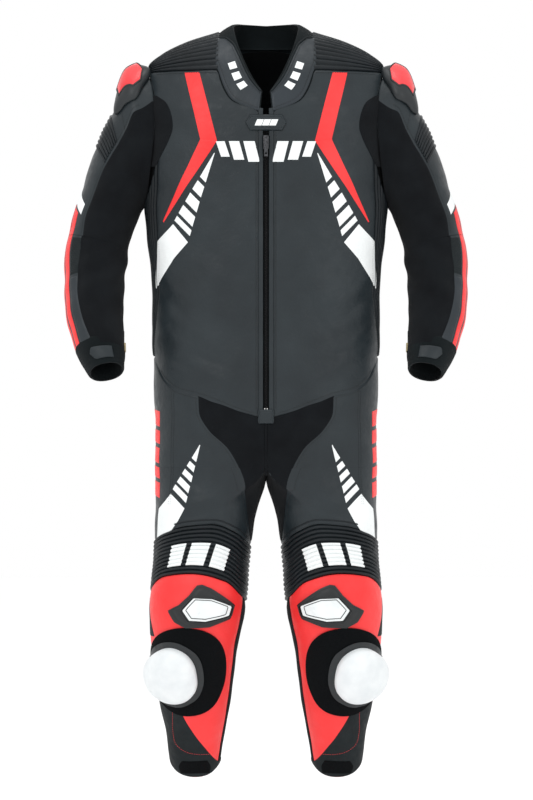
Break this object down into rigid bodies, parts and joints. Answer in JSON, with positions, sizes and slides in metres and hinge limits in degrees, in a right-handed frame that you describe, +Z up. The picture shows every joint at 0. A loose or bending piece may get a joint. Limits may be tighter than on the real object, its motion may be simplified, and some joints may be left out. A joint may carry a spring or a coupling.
{
  "type": "motorcycle racing suit",
  "caption": "One-piece leather motorcycle racing suit, empty and holding its worn shape, with ribbed stretch panels, zips, inner armour and removable knee sliders.",
  "frame": {"origin": "hanging loop, inside the collar at the centre back of the neck", "axes": "+Z up, along the suit's length; the suit faces -Y; +X is the wearer's left"},
  "size_m": [0.7936, 0.3241, 1.5017],
  "materials": {
    "leather_black": "matt grain",
    "leather_red": "satin grain",
    "ribbed_leather": "matt, elasticated ribs",
    "stretch_knit": "aramid stretch knit",
    "neoprene": "knit-faced neoprene",
    "hook_tape": "woven loop pile",
    "moulded_black": "moulded",
    "moulded_white": "moulded",
    "armour_foam": "moulded foam",
    "zip_tape": "woven tape with a moulded row of teeth",
    "zip_metal": "nickel-plated"
  },
  "bodies": {
    "torso": {"collar": "neoprene", "front_panel_left": "leather_black", "front_panel_right": "leather_black", "side_panel_left": "ribbed_leather", "side_panel_right": "ribbed_leather", "back_panel": "leather_black", "shoulder_yoke_left": "ribbed_leather", "shoulder_yoke_right": "ribbed_leather", "sleeve_cap_left": "leather_black", "sleeve_cap_right": "leather_black", "shoulder_cup_left": "moulded_black", "shoulder_cup_right": "moulded_black", "speed_hump": "leather_black", "back_protector": "armour_foam", "hip_panel_left": "leather_black", "hip_panel_right": "leather_black", "crotch_stretch": "stretch_knit", "main_zip": "zip_tape", "zip_garage": "leather_black", "zip_end_patch": "leather_black", "shoulder_gusset_left": "ribbed_leather", "shoulder_gusset_right": "ribbed_leather", "groin_gusset_left": "stretch_knit", "groin_gusset_right": "stretch_knit"},
    "main_slider": {"zip_slider": "zip_metal"},
    "main_pull": {"zip_pull": "zip_metal"},
    "upper_arm_left": {"upper_sleeve_left": "leather_black", "elbow_gusset_left": "stretch_knit"},
    "forearm_left": {"forearm_leather_left": "leather_black", "forearm_stretch_left": "stretch_knit", "elbow_protector_left": "armour_foam", "cuff_left": "neoprene"},
    "wrist_tab_left": {"cuff_tab_left": "leather_black"},
    "wrist_slider_left": {"wrist_zip_slider_left": "zip_metal"},
    "thigh_left": {"thigh_panel_left": "leather_black", "knee_gusset_left": "ribbed_leather"},
    "shin_left": {"shin_leather_left": "leather_red", "calf_stretch_left": "stretch_knit", "knee_badge_left": "moulded_black", "hook_patch_left": "hook_tape", "knee_protector_left": "armour_foam"},
    "slider_puck_left": {"knee_puck_left": "moulded_white"},
    "ankle_slider_left": {"ankle_zip_slider_left": "zip_metal"},
    "upper_arm_right": {"upper_sleeve_right": "leather_black", "elbow_gusset_right": "stretch_knit"},
    "forearm_right": {"forearm_leather_right": "leather_black", "forearm_stretch_right": "stretch_knit", "elbow_protector_right": "armour_foam", "cuff_right": "neoprene"},
    "wrist_tab_right": {"cuff_tab_right": "leather_black"},
    "wrist_slider_right": {"wrist_zip_slider_right": "zip_metal"},
    "thigh_right": {"thigh_panel_right": "leather_black", "knee_gusset_right": "ribbed_leather"},
    "shin_right": {"shin_leather_right": "leather_red", "calf_stretch_right": "stretch_knit", "knee_badge_right": "moulded_black", "hook_patch_right": "hook_tape", "knee_protector_right": "armour_foam"},
    "slider_puck_right": {"knee_puck_right": "moulded_white"},
    "ankle_slider_right": {"ankle_zip_slider_right": "zip_metal"}
  },
  "joints": [
    {"name": "shoulder_left", "type": "hinge", "parent": "torso", "child": "upper_arm_left", "pos_m": [0.3, -0.081, -0.342], "axis": [-1, 0, 0], "range_deg": [-10, 40], "deforming": ["shoulder_gusset_left"]},
    {"name": "elbow_left", "type": "hinge", "parent": "upper_arm_left", "child": "forearm_left", "pos_m": [0.335, -0.1, -0.455], "axis": [-1, 0, 0], "range_deg": [-10, 55], "deforming": ["elbow_gusset_left"]},
    {"name": "hip_left", "type": "hinge", "parent": "torso", "child": "thigh_left", "pos_m": [0.114, -0.08, -0.892], "axis": [-1, 0, 0], "range_deg": [-5, 30], "deforming": ["groin_gusset_left"]},
    {"name": "knee_left", "type": "hinge", "parent": "thigh_left", "child": "shin_left", "pos_m": [0.128, -0.095, -1.068], "axis": [1, 0, 0], "range_deg": [0, 55], "deforming": ["knee_gusset_left"]},
    {"name": "shoulder_right", "type": "hinge", "parent": "torso", "child": "upper_arm_right", "pos_m": [-0.3, -0.081, -0.342], "axis": [-1, 0, 0], "range_deg": [-10, 40], "deforming": ["shoulder_gusset_right"]},
    {"name": "elbow_right", "type": "hinge", "parent": "upper_arm_right", "child": "forearm_right", "pos_m": [-0.335, -0.1, -0.455], "axis": [-1, 0, 0], "range_deg": [-10, 55], "deforming": ["elbow_gusset_right"]},
    {"name": "hip_right", "type": "hinge", "parent": "torso", "child": "thigh_right", "pos_m": [-0.114, -0.08, -0.892], "axis": [-1, 0, 0], "range_deg": [-5, 30], "deforming": ["groin_gusset_right"]},
    {"name": "knee_right", "type": "hinge", "parent": "thigh_right", "child": "shin_right", "pos_m": [-0.128, -0.095, -1.068], "axis": [1, 0, 0], "range_deg": [0, 55], "deforming": ["knee_gusset_right"]},
    {"name": "main_zip_slide", "type": "slide", "parent": "torso", "child": "main_slider", "axis": [0, 0, -1], "range_m": [0, 0.49]},
    {"name": "main_pull_hinge", "type": "hinge", "parent": "main_slider", "child": "main_pull", "pos_m": [0, -0.2095, -0.22], "axis": [-1, 0, 0], "range_deg": [0, 170]},
    {"name": "wrist_zip_left", "type": "slide", "parent": "forearm_left", "child": "wrist_slider_left", "axis": [0.034, 0.4478, 0.8935], "range_m": [0, 0.08]},
    {"name": "wrist_tab_hinge_left", "type": "hinge", "parent": "forearm_left", "child": "wrist_tab_left", "pos_m": [0.297, -0.2163, -0.6312], "axis": [-0.1779, -0.2719, -0.9457], "range_deg": [0, 100]},
    {"name": "ankle_zip_left", "type": "slide", "parent": "shin_left", "child": "ankle_slider_left", "axis": [-0.133, -0.2571, 0.9572], "range_m": [0, 0.1]},
    {"name": "puck_lift_left", "type": "slide", "parent": "shin_left", "child": "slider_puck_left", "axis": [0.5172, -0.7814, -0.3492], "range_m": [0, 0.03]},
    {"name": "wrist_zip_right", "type": "slide", "parent": "forearm_right", "child": "wrist_slider_right", "axis": [-0.034, 0.4478, 0.8935], "range_m": [0, 0.08]},
    {"name": "wrist_tab_hinge_right", "type": "hinge", "parent": "forearm_right", "child": "wrist_tab_right", "pos_m": [-0.297, -0.2163, -0.6312], "axis": [-0.1779, 0.2719, 0.9457], "range_deg": [0, 100]},
    {"name": "ankle_zip_right", "type": "slide", "parent": "shin_right", "child": "ankle_slider_right", "axis": [0.133, -0.2571, 0.9572], "range_m": [0, 0.1]},
    {"name": "puck_lift_right", "type": "slide", "parent": "shin_right", "child": "slider_puck_right", "axis": [-0.5172, -0.7814, -0.3492], "range_m": [0, 0.03]}
  ]
}
